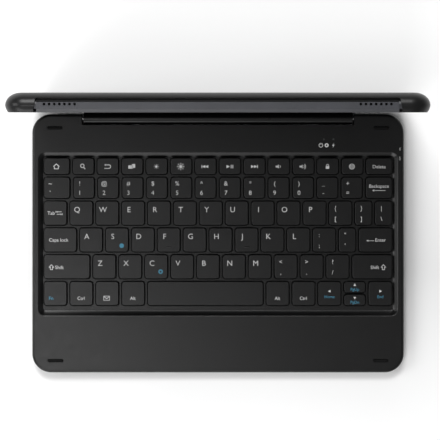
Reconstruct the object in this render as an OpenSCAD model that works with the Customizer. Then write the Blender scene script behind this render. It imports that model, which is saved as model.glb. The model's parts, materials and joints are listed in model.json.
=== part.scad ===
// Keyboard case for a tablet: a base with 78 keys and a hinged lid that holds the tablet.
// Millimetres. Z = 0 is the surface the feet stand on, +X is right, +Y is back.
// The base is drawn about the middle of its own plan, and place() moves it so that
// the whole case, lid raised, is centred on the origin.

/* [Base] */
// Width of the base and of the lid
case_w = 246; // [244:0.5:248]
// Depth of the base, front to back
base_d = 171; // [170.5:0.5:172]
// Height of the deck above the table
deck_z = 8; // [7.9:0.1:8.2]
// Height of the rubber feet
foot_h = 1; // [0.8:0.1:1]
// Corner radius of the base in plan
corner_r = 12.5; // [11:0.5:13]
// Thickness of the side walls
wall = 1.6; // [1.4:0.1:1.7]
// Rounding of the upper edge
edge_top = 2; // [1:0.25:2]
// Rounding of the lower edge
edge_low = 3; // [2.5:0.25:3]

/* [Keys] */
// Width of the key field
field_w = 230; // [229.5:0.1:230.5]
// Back edge of the first row of keys
field_back = 56.3; // [56:0.1:56.5]
// Depth of the shortcut row, the number row and each letter row
row_depths = [10.5, 13.7, 15.6, 15.6, 15.6, 15.6];
// Gap between two rows
row_gap = 2.14; // [2:0.02:2.2]
// Corner radius of a key
key_r = 1.3; // [1:0.1:1.6]
// How far a key goes down
travel = 1.6; // [1:0.1:1.6]
// Clearance between a key and its opening, each side
key_gap = 0.5; // [0.3:0.05:0.5]

/* [Lid] */
// Height of the lid, hinge edge to free edge
lid_h = 174.6; // [174:0.1:175]
// Thickness of the lid
lid_t = 11.5; // [11.3:0.1:11.8]
// Corner radius of the lid in plan
lid_r = 12; // [11:0.5:13]
// How far the lid leans forward from upright
lean = 3.27; // [0:0.01:6]
// Half length of the opening in the top wall of the shell
top_cut = 104.4; // [103:0.1:105]

/* [Tablet space] */
// Width of the tablet that the lid holds
tablet_w = 240.4; // [240:0.1:240.4]
// Depth of the tablet
tablet_d = 169.8; // [169.4:0.1:169.8]
// Thickness of the tablet
tablet_t = 6.2; // [6:0.1:6.2]
// Corner radius of the tablet
tablet_r = 9; // [8.5:0.1:9.5]

/* [Hinge] */
// Outer radius of the hinge barrel
barrel_r = 3.8; // [3.6:0.05:3.8]
// Radius of the hinge pins
pin_r = 1.2; // [1.1:0.05:1.25]
// Running clearance round the pins
pin_fit = 0.05; // [0.02:0.01:0.08]

/* [Hidden] */
$fn = 48;
NODES = [
    "base_tray", "deck", "key_backplate", "membrane_circuit", "dome_sheet",
    "controller_board", "board_chips", "battery_cells", "battery_lead", "base_feet",
    "deck_bumpers", "switch_body", "power_slider", "charging_socket", "status_lights",
    "base_screws", "base_magnets", "hinge_leaves", "hinge_pins", "lid_shell",
    "tablet_cradle", "cradle_floor", "cradle_pad", "hinge_barrel", "hinge_end_caps", "friction_clips",
    "lid_screws", "lid_magnets",
    "key_q", "key_w", "key_e", "key_r", "key_t", "key_y", "key_u", "key_i", "key_o",
    "key_p", "key_a", "key_s", "key_d", "key_f", "key_g", "key_h", "key_j", "key_k",
    "key_l", "key_z", "key_x", "key_c", "key_v", "key_b", "key_n", "key_m",
    "key_space", "key_enter", "key_backspace",
    "function_keys", "number_keys", "other_keys"
];

tiny = 0.01;
far = 400;

// Base levels
tray_z = foot_h;
floor_z = tray_z + 1.2;
parting_z = 5;
roof_z = deck_z - 1.2;
pan_z = 4.6;
pan_t = 1;

// Key levels
key_top = deck_z - 0.4;
key_low = 5.2;
key_wall = 0.9;
key_roof = 1;
post_r = 2;

// Layers under the keys
plate_z = floor_z;
membrane_z = plate_z + 0.3;
sheet_z = membrane_z + 0.4;
sheet_top = sheet_z + 0.4;
post_z = sheet_top + travel;
layer_w = 232;
layer_front = -46;
layer_back = 58;

// Well that the keys stand in
well_w = 237.6;
well_front = -48;
well_back = 60;
well_slope = 3;
near_slope = 4;
well_r = 4.5;

// Hinge, in the frame of the base
hinge_y = 82.6;
hinge_z = 4.5;
notch_half = 89.9;
notch_y = 78.4;
barrel_half = 89.2;
barrel_bore = 2.8;
clip_from = 72;
cap_from = 87.7;
pin_from = 70;
leaf_from = 92;
leaf_to = 112;
knuckle_r = 1.9;
knuckle_to = 104;

// Hinge, in the frame of the lid: v runs up from the hinge edge, w back from the front face
axis_v = 4;
axis_w = -4.1;

// Lid section: straight flare at the front, quarter ellipse at the back
flare = 1.6;
flare_w = 4.2;
back_v = 9.1;
back_w = lid_t - flare_w;
side_wall = 1.4;
back_wall = 2.2;
lip_w = 2;
pad_t = 0.5;
cradle_t = 0.8;
pad_w = tablet_t + pad_t;
cradle_w = pad_w + cradle_t;
top_wall = lid_h - 0.2;
inner_w = lid_t - back_wall - 0.1;
foot_w = 7.6;
cut_v = 168;
cut_w = 8.6;
tablet_v = 2.4;
bottom_cut = 7;
lid_mid = lid_h / 2;

// Back-to-front middle of the whole case, lid raised
lid_back = (axis_v - back_v) * sin(lean) + (flare_w - axis_w) * cos(lean)
    + sqrt(pow(back_v * sin(lean), 2) + pow(back_w * cos(lean), 2));
y_mid = (hinge_y + lid_back - base_d / 2) / 2;

// Key widths by row, left to right
letter_w = 14.85;
narrow_w = 10.95;
row_widths = [
    [16.7, for (i = [1:12]) 13.88, 16.9],
    [16.9, for (i = [1:12]) 13.52, 17.1],
    [for (i = [0:11]) letter_w, narrow_w, narrow_w],
    [21.3, for (i = [1:10]) letter_w, narrow_w, 21.65],
    [30.1, for (i = [1:10]) letter_w, 26.1],
    [letter_w, letter_w, letter_w, letter_w, 76.2, letter_w, letter_w, letter_w, 13.9, 15.3]
];
row_letters = ["", "", "qwertyuiop", "asdfghjkl", "zxcvbnm", ""];
arrow_row = 5;
arrow_col = 8;
arrow_gap = 1.4;

// Places of the fasteners and of what the base holds
base_screw_at = [
    [-106, -80], [106, -80], [-98, -62], [98, -62], [0, -66],
    [-115.5, 74.2], [115.5, 74.2], [-80, 69], [-4, 69]
];
magnet_x = 110;
magnet_y = -62;
magnet_r = 4;
magnet_v = hinge_y - magnet_y + axis_v;
lid_screw_at = [[-100, 30], [100, 30], [-100, 150], [100, 150], [0, 87]];
barrel_screw_x = [-75, -30, 30, 75];
barrel_screw_v = 10;
bumper_at = [[-108, 76.3], [108, 76.3], [-107.5, -77.6], [107.5, -77.6]];
bumper_rise = 0.5;
screw_r = 0.8;
screw_head_r = 1.7;
screw_hole_r = 0.9;
screw_seat_r = 1.8;
boss_r = 2.2;
foot_at = [[-105, -70], [105, -70], [-105, 70], [105, 70]];
light_at = [[70, 68.7], [76.3, 68.7]];
light_r = 0.6;
board_box = [12, 61.5, 88, 76];
board_z = 3;
board_t = 1;
board_post_at = [[16, 65], [84, 65], [16, 73], [84, 73]];
switch_y = 59.2;
switch_travel = 2;
slider_l = 3;
slider_z = 2.95;
slider_h = 1.3;
switch_slot = slider_l + switch_travel + 1;
slot_z = [2.8, 4.4];
socket_y = 68;
socket_half = 3.4;
socket_z = [2.75, 4.65];
sound_hole_r = 0.75;
sound_hole_pitch = 2.92;
sound_hole_x = 81.95;
sound_hole_w = 4.8;
sound_holes = 7;
plug_v = 87.3;
plug_l = 18;
plug_w = 5.6;

// ---- helpers ----

function total(list, n, i = 0) = i >= n ? 0 : list[i] + total(list, n, i + 1);
function gap_of(row) =
    let (widths = row_widths[row])
    (field_w - total(widths, len(widths))) / (len(widths) - 1);
function key_left(row, col) = -field_w / 2 + total(row_widths[row], col) + col * gap_of(row);
function row_back(row) = field_back - total(row_depths, row) - row * row_gap;

// Name of the node that the key in a row and column belongs to
function key_node(row, col) =
    row == 0 ? "function_keys"
    : row == 1 ? (col == 13 ? "key_backspace" : "number_keys")
    : row == 3 && col == 12 ? "key_enter"
    : row == 5 && col == 4 ? "key_space"
    : col > 0 && col <= len(row_letters[row]) ? str("key_", row_letters[row][col - 1])
    : "other_keys";

// Every key: node, left, front, width, depth
function halves(row, col) =
    let (x = key_left(row, col), w = row_widths[row][col], d = row_depths[row])
    let (front = row_back(row) - d, half = (d - arrow_gap) / 2)
    [["other_keys", x, front, w, half], ["other_keys", x, front + half + arrow_gap, w, half]];
KEYS = [
    for (row = [0:5], col = [0:len(row_widths[row]) - 1])
        each row == arrow_row && col == arrow_col ? halves(row, col)
            : [[key_node(row, col), key_left(row, col), row_back(row) - row_depths[row],
                row_widths[row][col], row_depths[row]]]
];

module place()
{
    translate([0, -y_mid, 0]) children();
}

// Draws lid pieces, made lying on their back with z = -w, where the raised lid holds them
module place_lid()
{
    place()
    translate([0, hinge_y, hinge_z])
    rotate([90 + lean, 0, 0])
    translate([0, -axis_v, axis_w])
        children();
}

module both_sides()
{
    children();
    mirror([1, 0, 0]) children();
}

// Box from one corner to the opposite one
module block(from, to)
{
    translate(from) cube(to - from);
}

// Box in the frame of the lid: x, v and w ranges
module lid_block(x, v, w)
{
    block([x[0], v[0], -w[1]], [x[1], v[1], -w[0]]);
}

// Round bar along X
module bar(x0, x1, r)
{
    translate([x0, 0, 0]) rotate([0, 90, 0]) cylinder(h = x1 - x0, r = r);
}

module rounded(w, d, r)
{
    square([w - 2 * r, d], center = true);
    square([w, d - 2 * r], center = true);
    for (sx = [-1, 1], sy = [-1, 1])
        translate([sx * (w / 2 - r), sy * (d / 2 - r)]) circle(r);
}

// Flat plate with round corners, between two heights
module plate(w, d, r, z0, z1)
{
    translate([0, 0, z0]) linear_extrude(z1 - z0) rounded(w, d, r);
}

// Solid whose four corners are turned from one section
module turned_slab(w, d, r, section)
{
    hull()
        for (sx = [-1, 1], sy = [-1, 1])
            translate([sx * (w / 2 - r), sy * (d / 2 - r), 0])
                rotate_extrude($fn = 32) polygon(section);
}

function arc(cx, cy, rx, ry, from, to, steps) =
    [for (i = [0:steps]) let (a = from + (to - from) * i / steps) [cx + rx * cos(a), cy + ry * sin(a)]];

// ---- base ----

module base_form()
{
    low = arc(corner_r - edge_low, tray_z + edge_low, edge_low, edge_low, -90, 0, 6);
    top = arc(corner_r - edge_top, deck_z - edge_top, edge_top, edge_top, 0, 90, 5);
    turned_slab(case_w, base_d, corner_r, concat([[0, tray_z]], low, top, [[0, deck_z]]));
}

module notch(clear)
{
    block([-notch_half - clear, notch_y - clear, -1], [notch_half + clear, far, deck_z + 1]);
}

module base_cavity(z0, z1)
{
    difference() {
        plate(case_w - 2 * wall, base_d - 2 * wall, corner_r - wall, z0, z1);
        notch(wall);
    }
}

// Room round each knuckle, and the holes that the pins pass through
module hinge_room()
{
    both_sides()
        translate([0, hinge_y, hinge_z]) {
            bar(notch_half - 1, leaf_from, pin_r + 0.1);
            bar(leaf_from - 0.1, knuckle_to + 0.5, knuckle_r + 0.1);
        }
}

// Slot through the right wall
module side_slot(y, half, z)
{
    block([case_w / 2 - wall - 1, y - half, z[0]], [case_w / 2 + 1, y + half, z[1]]);
}

module base_tray()
{
    color("#1b1b1d")
    place()
    difference() {
        union() {
            difference() {
                intersection() {
                    base_form();
                    block([-far, -far, 0], [far, far, parting_z]);
                }
                base_cavity(floor_z, parting_z + 1);
            }
            for (at = board_post_at)
                translate([at.x, at.y, floor_z - tiny]) cylinder(h = board_z - floor_z + tiny, r = 1.5);
        }
        notch(0);
        hinge_room();
        for (at = base_screw_at)
            translate([at.x, at.y, 0]) {
                cylinder(h = tray_z + 0.6, r = screw_seat_r);
                cylinder(h = parting_z, r = screw_hole_r);
            }
        side_slot(switch_y, switch_slot / 2, slot_z);
        side_slot(socket_y, socket_half + 0.2, [socket_z[0] - 0.05, socket_z[1] + 0.05]);
    }
}

// Plan of the well between two heights, drawn in by a slope on three sides and by another in front
module well_plate(slope, near, r, z0, z1)
{
    front = well_front + near;
    back = well_back - slope;
    translate([0, (front + back) / 2, 0]) plate(well_w - 2 * slope, back - front, r, z0, z1);
}

// Sloping sides of the well
module well()
{
    web_z = pan_z + pan_t;
    hull($fn = 32) {
        well_plate(0, 0, well_r, deck_z, deck_z + 1);
        well_plate(well_slope, near_slope, 1.5, web_z, web_z + tiny);
    }
}

// Rubber bumper, or the slot that it sits in, from the bottom of the slot up
module bumper_plate(top)
{
    plate(10.2, 2, 1, deck_z - 0.8, top);
}

module deck()
{
    pan_side = 0.6;
    color("#2a2a2c")
    place()
    difference() {
        union() {
            difference() {
                intersection() {
                    base_form();
                    block([-far, -far, parting_z], [far, far, far]);
                }
                base_cavity(parting_z - 1, roof_z);
            }
            block(
                [-well_w / 2 - pan_side, well_front - pan_side, pan_z],
                [well_w / 2 + pan_side, well_back + pan_side, roof_z + tiny]
            );
            for (at = base_screw_at)
                translate([at.x, at.y, floor_z]) cylinder(h = roof_z - floor_z + tiny, r = boss_r);
        }
        well();
        notch(0);
        hinge_room();
        for (key = KEYS)
            block(
                [key[1] - key_gap, key[2] - key_gap, pan_z - 1],
                [key[1] + key[3] + key_gap, key[2] + key[4] + key_gap, pan_z + pan_t + 1]
            );
        for (at = bumper_at)
            translate([at.x, at.y, 0]) bumper_plate(deck_z + 1);
        for (at = light_at)
            translate([at.x, at.y, roof_z - 1]) cylinder(h = far, r = light_r);
        for (at = base_screw_at)
            translate([at.x, at.y, floor_z - 1]) cylinder(h = 5, r = screw_r);
    }
}

module key_layer(z0, z1)
{
    block([-layer_w / 2, layer_front, z0], [layer_w / 2, layer_back, z1]);
}

module key_backplate()
{
    color("#8d9094")
    place()
        key_layer(plate_z, membrane_z);
}

module membrane_circuit()
{
    tail_x = [30, 50];
    color("#b9b08c")
    place() {
        key_layer(membrane_z, sheet_z);
        block([tail_x[0], layer_back - 1, membrane_z], [tail_x[1], 64, sheet_z]);
        block([tail_x[0], 62, membrane_z], [tail_x[1], 64, board_z]);
    }
}

module dome_sheet()
{
    color("#c9c9c4")
    place() {
        key_layer(sheet_z, sheet_top);
        for (key = KEYS)
            translate([key[1] + key[3] / 2, key[2] + key[4] / 2, sheet_top - tiny])
                cylinder(h = post_z - sheet_top + tiny, r1 = 3, r2 = 1.6, $fn = 16);
    }
}

module controller_board()
{
    color("#2c5a3a")
    place()
        block([board_box[0], board_box[1], board_z], [board_box[2], board_box[3], board_z + board_t]);
}

module board_chips()
{
    chips = [[24, 66, 7, 7, 1], [38, 64, 5, 5, 0.9], [50, 63.5, 12, 9, 1.2], [30, 74, 3, 1.6, 0.8]];
    color("#26282b")
    place()
        for (chip = chips)
            translate([chip[0], chip[1], board_z + board_t])
                cube([chip[2], min(chip[3], board_box[3] - chip[1]), chip[4]]);
}

module battery_cells()
{
    color("#b8bbc0")
    place()
        both_sides()
            block([8, -81, floor_z], [88, -51, floor_z + 3]);
}

// Flat cable from the cells along the left wall to the board
module battery_lead()
{
    z0 = board_z - 0.4;
    color("#c8752c")
    place() {
        block([-8, -55, z0], [8, -52, board_z]);
        block([-120.2, -55, z0], [-88, -52, board_z]);
        block([-120.2, -53, z0], [-117.2, 64, board_z]);
        block([-120.2, 61, z0], [14, 64, board_z]);
    }
}

module base_feet()
{
    color("#111112")
    place()
        for (at = foot_at)
            translate([at.x, at.y, 0]) cylinder(h = tray_z, r = 5);
}

module deck_bumpers()
{
    color("#0c0c0d")
    place()
        for (at = bumper_at)
            translate([at.x, at.y, 0]) bumper_plate(deck_z + bumper_rise);
}

module switch_body()
{
    color("#3a3b3e")
    place()
        difference() {
            block([116.4, switch_y - 4.5, floor_z], [121.2, switch_y + 4.5, pan_z]);
            block([118.2, switch_y - switch_slot / 2, slot_z[0]], [far, switch_y + switch_slot / 2, slot_z[1]]);
        }
}

module power_slider()
{
    y0 = switch_y - (slider_l + switch_travel) / 2;
    color("#161617")
    place()
        difference() {
            block([118.4, y0, slider_z], [case_w / 2 - 0.2, y0 + slider_l, slider_z + slider_h]);
            for (i = [0:2])
                block(
                    [case_w / 2 - 0.5, y0 + 0.5 + i * 0.8, slider_z - 1],
                    [far, y0 + 0.9 + i * 0.8, slider_z + slider_h + 1]
                );
        }
}

module charging_socket()
{
    color("#a9abae")
    place()
        difference() {
            block(
                [115, socket_y - socket_half - 0.5, floor_z],
                [case_w / 2 - wall, socket_y + socket_half + 0.5, parting_z - 0.1]
            );
            difference() {
                block([116.5, socket_y - socket_half, socket_z[0]], [far, socket_y + socket_half, socket_z[1]]);
                block([116.4, socket_y - 2.5, 3.45], [120.6, socket_y + 2.5, 3.95]);
            }
        }
}

module status_lights()
{
    color("#e6e6e0")
    place()
        for (at = light_at)
            translate([at.x, at.y, board_z + board_t]) cylinder(h = deck_z - board_z - board_t, r = light_r);
}

module base_screws()
{
    color("#55575a")
    place()
        for (at = base_screw_at)
            translate([at.x, at.y, 0]) {
                translate([0, 0, tray_z + 0.1]) cylinder(h = 0.5, r = screw_head_r);
                translate([0, 0, tray_z + 0.6 - tiny]) cylinder(h = 4, r = screw_r);
            }
}

module base_magnets()
{
    color("#9a9da1")
    place()
        both_sides()
            translate([magnet_x, magnet_y, roof_z - 1.5]) cylinder(h = 1.5, r = magnet_r);
}

module hinge_leaves()
{
    color("#85888c")
    place()
        both_sides()
            difference() {
                union() {
                    block([leaf_from, 68, floor_z], [leaf_to, hinge_y, floor_z + 1.2]);
                    translate([0, hinge_y, hinge_z]) bar(leaf_from, knuckle_to, knuckle_r);
                    block(
                        [leaf_from, hinge_y - knuckle_r, floor_z],
                        [knuckle_to, hinge_y, hinge_z]
                    );
                }
                translate([0, hinge_y, hinge_z]) bar(leaf_from - 1, knuckle_to + 1, pin_r);
            }
}

module hinge_pins()
{
    color("#b4b7bb")
    place()
        both_sides()
            translate([0, hinge_y, hinge_z]) bar(pin_from, knuckle_to, pin_r);
}

// ---- keys ----

module keycap(x, y, w, d)
{
    translate([x + w / 2, y + d / 2, 0]) {
        difference() {
            plate(w, d, key_r, key_low, key_top);
            plate(w - 2 * key_wall, d - 2 * key_wall, key_r - 0.7, key_low - 1, key_top - key_roof);
        }
        translate([0, 0, post_z]) cylinder(h = key_top - key_roof - post_z + tiny, r = post_r);
    }
}

module key_group(name)
{
    color("#303033")
    place()
        for (key = KEYS)
            if (key[0] == name)
                keycap(key[1], key[2], key[3], key[4]);
}

// ---- lid ----

// Outer form of the lid, or the space inside it when walls are given
module lid_form(side, back, front)
{
    half_r = lid_r - side;
    curve = arc(lid_r - back_v, -flare_w, back_v - side, -(back_w - back), 0, 90, 8);
    start = front > 0 ? [half_r, -front] : [half_r - flare, 0];
    section = concat([[0, -front], start], curve, [[0, -lid_t + back]]);
    translate([0, lid_mid, 0]) turned_slab(case_w - 2 * side, lid_h - 2 * side, half_r, section);
}

// Arm that joins the hinge barrel to the back of the lid, as an upright section
module foot_section()
{
    polygon([
        [0.9, -axis_w], [0.9, -5.3], [3, -8.3], [5.5, -inner_w], [14, -inner_w],
        [14, -foot_w], [6, -foot_w], [2.3, -5], [2.3, 1], [axis_v, -axis_w]
    ]);
}

// Runs a (v, -w) section along X
module along_x(half)
{
    translate([-half, 0, 0])
        rotate([90, 0, 90])
            linear_extrude(2 * half) children();
}

// Cut-out in the right wall for the plug of the tablet's lead
module plug_cut()
{
    lid_block([118, far], [plug_v - plug_l / 2, plug_v + plug_l / 2], [-1, plug_w]);
}

module lid_shell()
{
    color("#3c3c3f")
    place_lid()
    difference() {
        union() {
            difference() {
                lid_form(0, 0, 0);
                lid_form(side_wall, back_wall, lip_w);
            }
            for (at = lid_screw_at)
                translate([at.x, at.y, -lid_t + back_wall - tiny])
                    cylinder(h = lid_t - back_wall - cradle_w + tiny, r = boss_r);
        }
        translate([0, lid_mid, 0]) plate(240.6, 170, 8.7, -lip_w - 0.1, 1);
        lid_block([-top_cut, top_cut], [cut_v, far], [-1, cut_w]);
        lid_block([-barrel_half - 0.1, barrel_half + 0.1], [-1, 2.4], [-1, 3]);
        along_x(barrel_half + 0.1) foot_section();
        plug_cut();
        for (at = lid_screw_at)
            translate([at.x, at.y, -10.2]) cylinder(h = 5, r = screw_r);
        for (x = barrel_screw_x)
            translate([x, barrel_screw_v, -10.4]) cylinder(h = 5, r = screw_r);
    }
}

// Plan of the tablet between two heights, smaller by an edge all round
module tablet_plate(edge, z0, z1)
{
    translate([0, tablet_v + tablet_d / 2, 0])
        plate(tablet_w - 2 * edge, tablet_d - 2 * edge, tablet_r, z0, z1);
}

// Slice of the cradle's outer form between two depths
module cradle_slice(w0, w1)
{
    fit = 0.15;
    intersection() {
        lid_form(side_wall + fit, back_wall + fit, lip_w + fit);
        lid_block([-far, far], [tablet_v, far], [w0, w1]);
    }
}

// Walls round the tablet: two sides and the top, which shows in the shell's opening
module tablet_cradle()
{
    inner = tablet_v + tablet_d;
    color("#4a4b50")
    place_lid()
    difference() {
        union() {
            cradle_slice(0, pad_w);
            along_x(top_cut - 0.4)
                polygon([
                    [inner, 0], [lid_h - 1.6, 0], [top_wall, -2], [top_wall, -6],
                    [lid_h - 1.4, -6], [lid_h - 1.7, -pad_w], [inner - 2, -pad_w]
                ]);
        }
        tablet_plate(0, -pad_w - 1, 1);
        lid_block([-barrel_half - 0.3, barrel_half + 0.3], [-1, bottom_cut], [-1, 10]);
        plug_cut();
        both_sides()
            for (i = [0:sound_holes - 1])
                translate([sound_hole_x + i * sound_hole_pitch, lid_h + 1, -sound_hole_w])
                    rotate([90, 0, 0]) cylinder(h = 6, r = sound_hole_r, $fn = 24);
    }
}

// Panel behind the tablet, screwed to the shell's bosses, with a rib that closes the shell's opening
module cradle_floor()
{
    color("#45464b")
    place_lid()
    difference() {
        union() {
            cradle_slice(pad_w, cradle_w);
            lid_block([-top_cut - 5, top_cut + 5], [cut_v - 2, cut_v - 0.5], [cradle_w - tiny, inner_w]);
        }
        lid_block([-barrel_half - 0.3, barrel_half + 0.3], [-1, bottom_cut], [-1, 10]);
        for (at = lid_screw_at) {
            translate([at.x, at.y, -pad_w - 0.4]) cylinder(h = 3, r = screw_seat_r);
            translate([at.x, at.y, -10]) cylinder(h = 6, r = screw_hole_r);
        }
    }
}

module cradle_pad()
{
    color("#2b2c30")
    place_lid()
        intersection() {
            tablet_plate(0.3, -pad_w, -tablet_t);
            lid_block([-far, far], [bottom_cut + 0.3, far], [0, far]);
        }
}

module hinge_barrel()
{
    color("#141415")
    place_lid()
    difference() {
        union() {
            translate([0, axis_v, -axis_w]) bar(-barrel_half, barrel_half, barrel_r);
            along_x(barrel_half) foot_section();
        }
        translate([0, axis_v, -axis_w]) bar(-far, far, barrel_bore);
        for (x = barrel_screw_x)
            translate([x, barrel_screw_v, -10]) cylinder(h = 4, r = screw_hole_r);
    }
}

module hinge_end_caps()
{
    color("#1d1d1f")
    place_lid()
        both_sides()
            translate([0, axis_v, -axis_w])
                difference() {
                    bar(cap_from, barrel_half, barrel_bore);
                    bar(cap_from - 1, far, pin_r + 0.15);
                }
}

module friction_clips()
{
    color("#9fa2a6")
    place_lid()
        both_sides()
            translate([0, axis_v, -axis_w])
                difference() {
                    bar(clip_from, cap_from, barrel_bore);
                    bar(clip_from - 1, far, pin_r + pin_fit);
                }
}

module lid_screws()
{
    color("#55575a")
    place_lid() {
        for (at = lid_screw_at)
            translate([at.x, at.y, 0]) {
                translate([0, 0, -pad_w - 0.4]) cylinder(h = 0.4, r = screw_head_r);
                translate([0, 0, -10]) cylinder(h = 10 - pad_w - 0.2, r = screw_r);
            }
        for (x = barrel_screw_x)
            translate([x, barrel_screw_v, -10.2]) cylinder(h = 10.2 - foot_w, r = screw_r);
    }
}

module lid_magnets()
{
    color("#9a9da1")
    place_lid()
        both_sides()
            translate([magnet_x, magnet_v, -inner_w]) cylinder(h = inner_w - cradle_w, r = magnet_r);
}

// ---- nodes ----

base_tray();
deck();
key_backplate();
membrane_circuit();
dome_sheet();
controller_board();
board_chips();
battery_cells();
battery_lead();
base_feet();
deck_bumpers();
switch_body();
power_slider();
charging_socket();
status_lights();
base_screws();
base_magnets();
hinge_leaves();
hinge_pins();
lid_shell();
tablet_cradle();
cradle_floor();
cradle_pad();
hinge_barrel();
hinge_end_caps();
friction_clips();
lid_screws();
lid_magnets();
for (name = NODES)
    if (len(search([name], KEYS, 0)[0]) > 0)
        key_group(name);
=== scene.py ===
import json
import math

import bmesh
import bpy
from mathutils import Matrix, Vector

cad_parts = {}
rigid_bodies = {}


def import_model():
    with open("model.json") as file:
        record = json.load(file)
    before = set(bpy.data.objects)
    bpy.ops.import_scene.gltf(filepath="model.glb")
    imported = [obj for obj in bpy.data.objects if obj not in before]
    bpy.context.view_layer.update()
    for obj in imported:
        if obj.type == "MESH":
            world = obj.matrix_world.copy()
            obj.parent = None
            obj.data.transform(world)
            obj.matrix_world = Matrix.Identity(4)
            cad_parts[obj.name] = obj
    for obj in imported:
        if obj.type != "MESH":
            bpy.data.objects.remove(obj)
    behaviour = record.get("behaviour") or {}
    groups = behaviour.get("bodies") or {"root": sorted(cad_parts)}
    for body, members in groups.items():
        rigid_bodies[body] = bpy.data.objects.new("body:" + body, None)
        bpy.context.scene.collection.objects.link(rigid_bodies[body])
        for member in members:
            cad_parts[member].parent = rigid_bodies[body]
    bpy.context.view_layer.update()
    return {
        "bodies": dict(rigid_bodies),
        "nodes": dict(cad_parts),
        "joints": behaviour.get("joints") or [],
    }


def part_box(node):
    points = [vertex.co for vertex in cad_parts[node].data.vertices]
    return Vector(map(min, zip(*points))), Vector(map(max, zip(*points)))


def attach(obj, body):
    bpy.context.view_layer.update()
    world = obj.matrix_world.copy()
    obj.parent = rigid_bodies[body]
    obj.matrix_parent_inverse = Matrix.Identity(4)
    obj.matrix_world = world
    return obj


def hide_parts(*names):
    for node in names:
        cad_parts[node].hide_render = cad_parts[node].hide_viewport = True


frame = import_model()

# ---------------------------------------------------------------------------
# Places and sizes, in millimetres unless a name says otherwise
# ---------------------------------------------------------------------------
MM = 0.001
joint_of = {joint["name"]: joint for joint in frame["joints"]}
hinge = joint_of["lid_hinge"]
hinge_at = Vector(hinge["pos_m"]) / MM
lean = math.radians(90 + hinge["range_deg"][0])


def box_mm(node):
    """Lowest and highest corner of a CAD node, in millimetres."""
    low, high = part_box(node)
    return low / MM, high / MM


tray_low, tray_high = box_mm("base_tray")
deck_high = box_mm("deck")[1]
CASE_W = tray_high.x - tray_low.x
BASE_D = tray_high.y - tray_low.y
BASE_Y = (tray_high.y + tray_low.y) / 2
DECK_Z = deck_high.z
TRAY_Z = tray_low.z
PARTING_Z = tray_high.z
FLOOR_Z = TRAY_Z + 1.2
ROOF_Z = DECK_Z - 1.2
CORNER_R = 12.5
EDGE_TOP = 2.0
EDGE_LOW = 3.0
WALL = 1.6
HINGE_Y = hinge_at.y - BASE_Y
HINGE_Z = hinge_at.z

# Well that the keys stand in: left, right, front, back
WELL = (-118.8, 118.8, -48.0, 60.0)
WELL_R = 4.5
WELL_SLOPE = 3.0
NEAR_SLOPE = 4.0
PAN_Z = 4.6
WEB_Z = 5.6
KEY_R = 1.8
KEY_GAP = 0.5

# Notch for the hinge barrel
NOTCH_HALF = 89.9
NOTCH_Y = 78.4
BARREL_HALF = 89.2
BARREL_R = 3.8
BARREL_BORE = 2.8

# Lid, in its own frame: x, v up from the hinge edge, w back from the front face
AXIS_V = 4.0
AXIS_W = -4.1
LID_H = 174.6
LID_T = 11.5
LID_R = 12.0
LID_MID = LID_H / 2
FLARE = 1.6
FLARE_W = 4.2
BACK_V = 9.1
BACK_W = LID_T - FLARE_W
SIDE_WALL = 1.4
BACK_WALL = 2.2
LIP_W = 2.0
TABLET = (240.4, 169.8)
TABLET_R = 9.0
TABLET_T = 6.2
TABLET_V = 2.4
TABLET_TOP = TABLET_V + TABLET[1]
STRIP_BACK = 6.0
PAD_W = 6.7
CRADLE_W = 7.5
TOP_CUT = 104.4
CUT_W = 8.6
BOTTOM_CUT = 7.0
PLUG_V = 87.3
PLUG_L = 18.0
PLUG_W = 5.6
OPENING = (240.6, 170.0, 8.7)
SOUND_HOLES = 7
SOUND_FIRST = 81.95
SOUND_STEP = 2.92
SOUND_W = 4.8

# Screws: radius of the bore that one bites into, and of the hole that it passes through
BORE_R = 0.8
HOLE_R = 0.9

base_to_row = Matrix.Scale(MM, 4) @ Matrix.Translation((0, BASE_Y, 0))
lid_to_row = (
    Matrix.Scale(MM, 4)
    @ Matrix.Translation(hinge_at)
    @ Matrix.Rotation(math.pi / 2 + lean, 4, "X")
    @ Matrix.Translation((0, -AXIS_V, AXIS_W))
)


# ---------------------------------------------------------------------------
# Materials
# ---------------------------------------------------------------------------
class Nodes:
    """A new material's node tree, with short ways to add and join nodes."""

    def __init__(self, name):
        self.material = bpy.data.materials.new(name)
        self.material.use_nodes = True
        self.tree = self.material.node_tree
        self.shader = self.tree.nodes["Principled BSDF"]

    def add(self, kind, **values):
        node = self.tree.nodes.new(kind)
        for key, value in values.items():
            if hasattr(node, key):
                setattr(node, key, value)
            else:
                node.inputs[key.replace("_", " ")].default_value = value
        return node

    def join(self, out, into):
        self.tree.links.new(out, into)

    def place(self):
        """Object coordinates, in metres, so that a texture keeps its real scale."""
        return self.add("ShaderNodeTexCoord").outputs["Object"]

    def noise(self, per_metre, detail=2.0, rough=0.5):
        node = self.add("ShaderNodeTexNoise", Scale=per_metre, Detail=detail, Roughness=rough)
        self.join(self.place(), node.inputs["Vector"])
        return node.outputs["Fac"]

    def ramp(self, value, low, high, start=0.3, end=0.7):
        node = self.add("ShaderNodeValToRGB")
        first, last = node.color_ramp.elements
        first.position, first.color = start, (*low, 1)
        last.position, last.color = end, (*high, 1)
        self.join(value, node.inputs["Fac"])
        return node.outputs["Color"]

    def spread(self, value, low, high):
        """value, from 0 to 1, mapped to low to high."""
        node = self.add("ShaderNodeMapRange")
        node.inputs["To Min"].default_value = low
        node.inputs["To Max"].default_value = high
        self.join(value, node.inputs["Value"])
        return node.outputs["Result"]

    def bump(self, height, distance, strength=1.0):
        node = self.add("ShaderNodeBump")
        node.inputs["Distance"].default_value = distance
        node.inputs["Strength"].default_value = strength
        self.join(height, node.inputs["Height"])
        self.join(node.outputs["Normal"], self.shader.inputs["Normal"])


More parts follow.
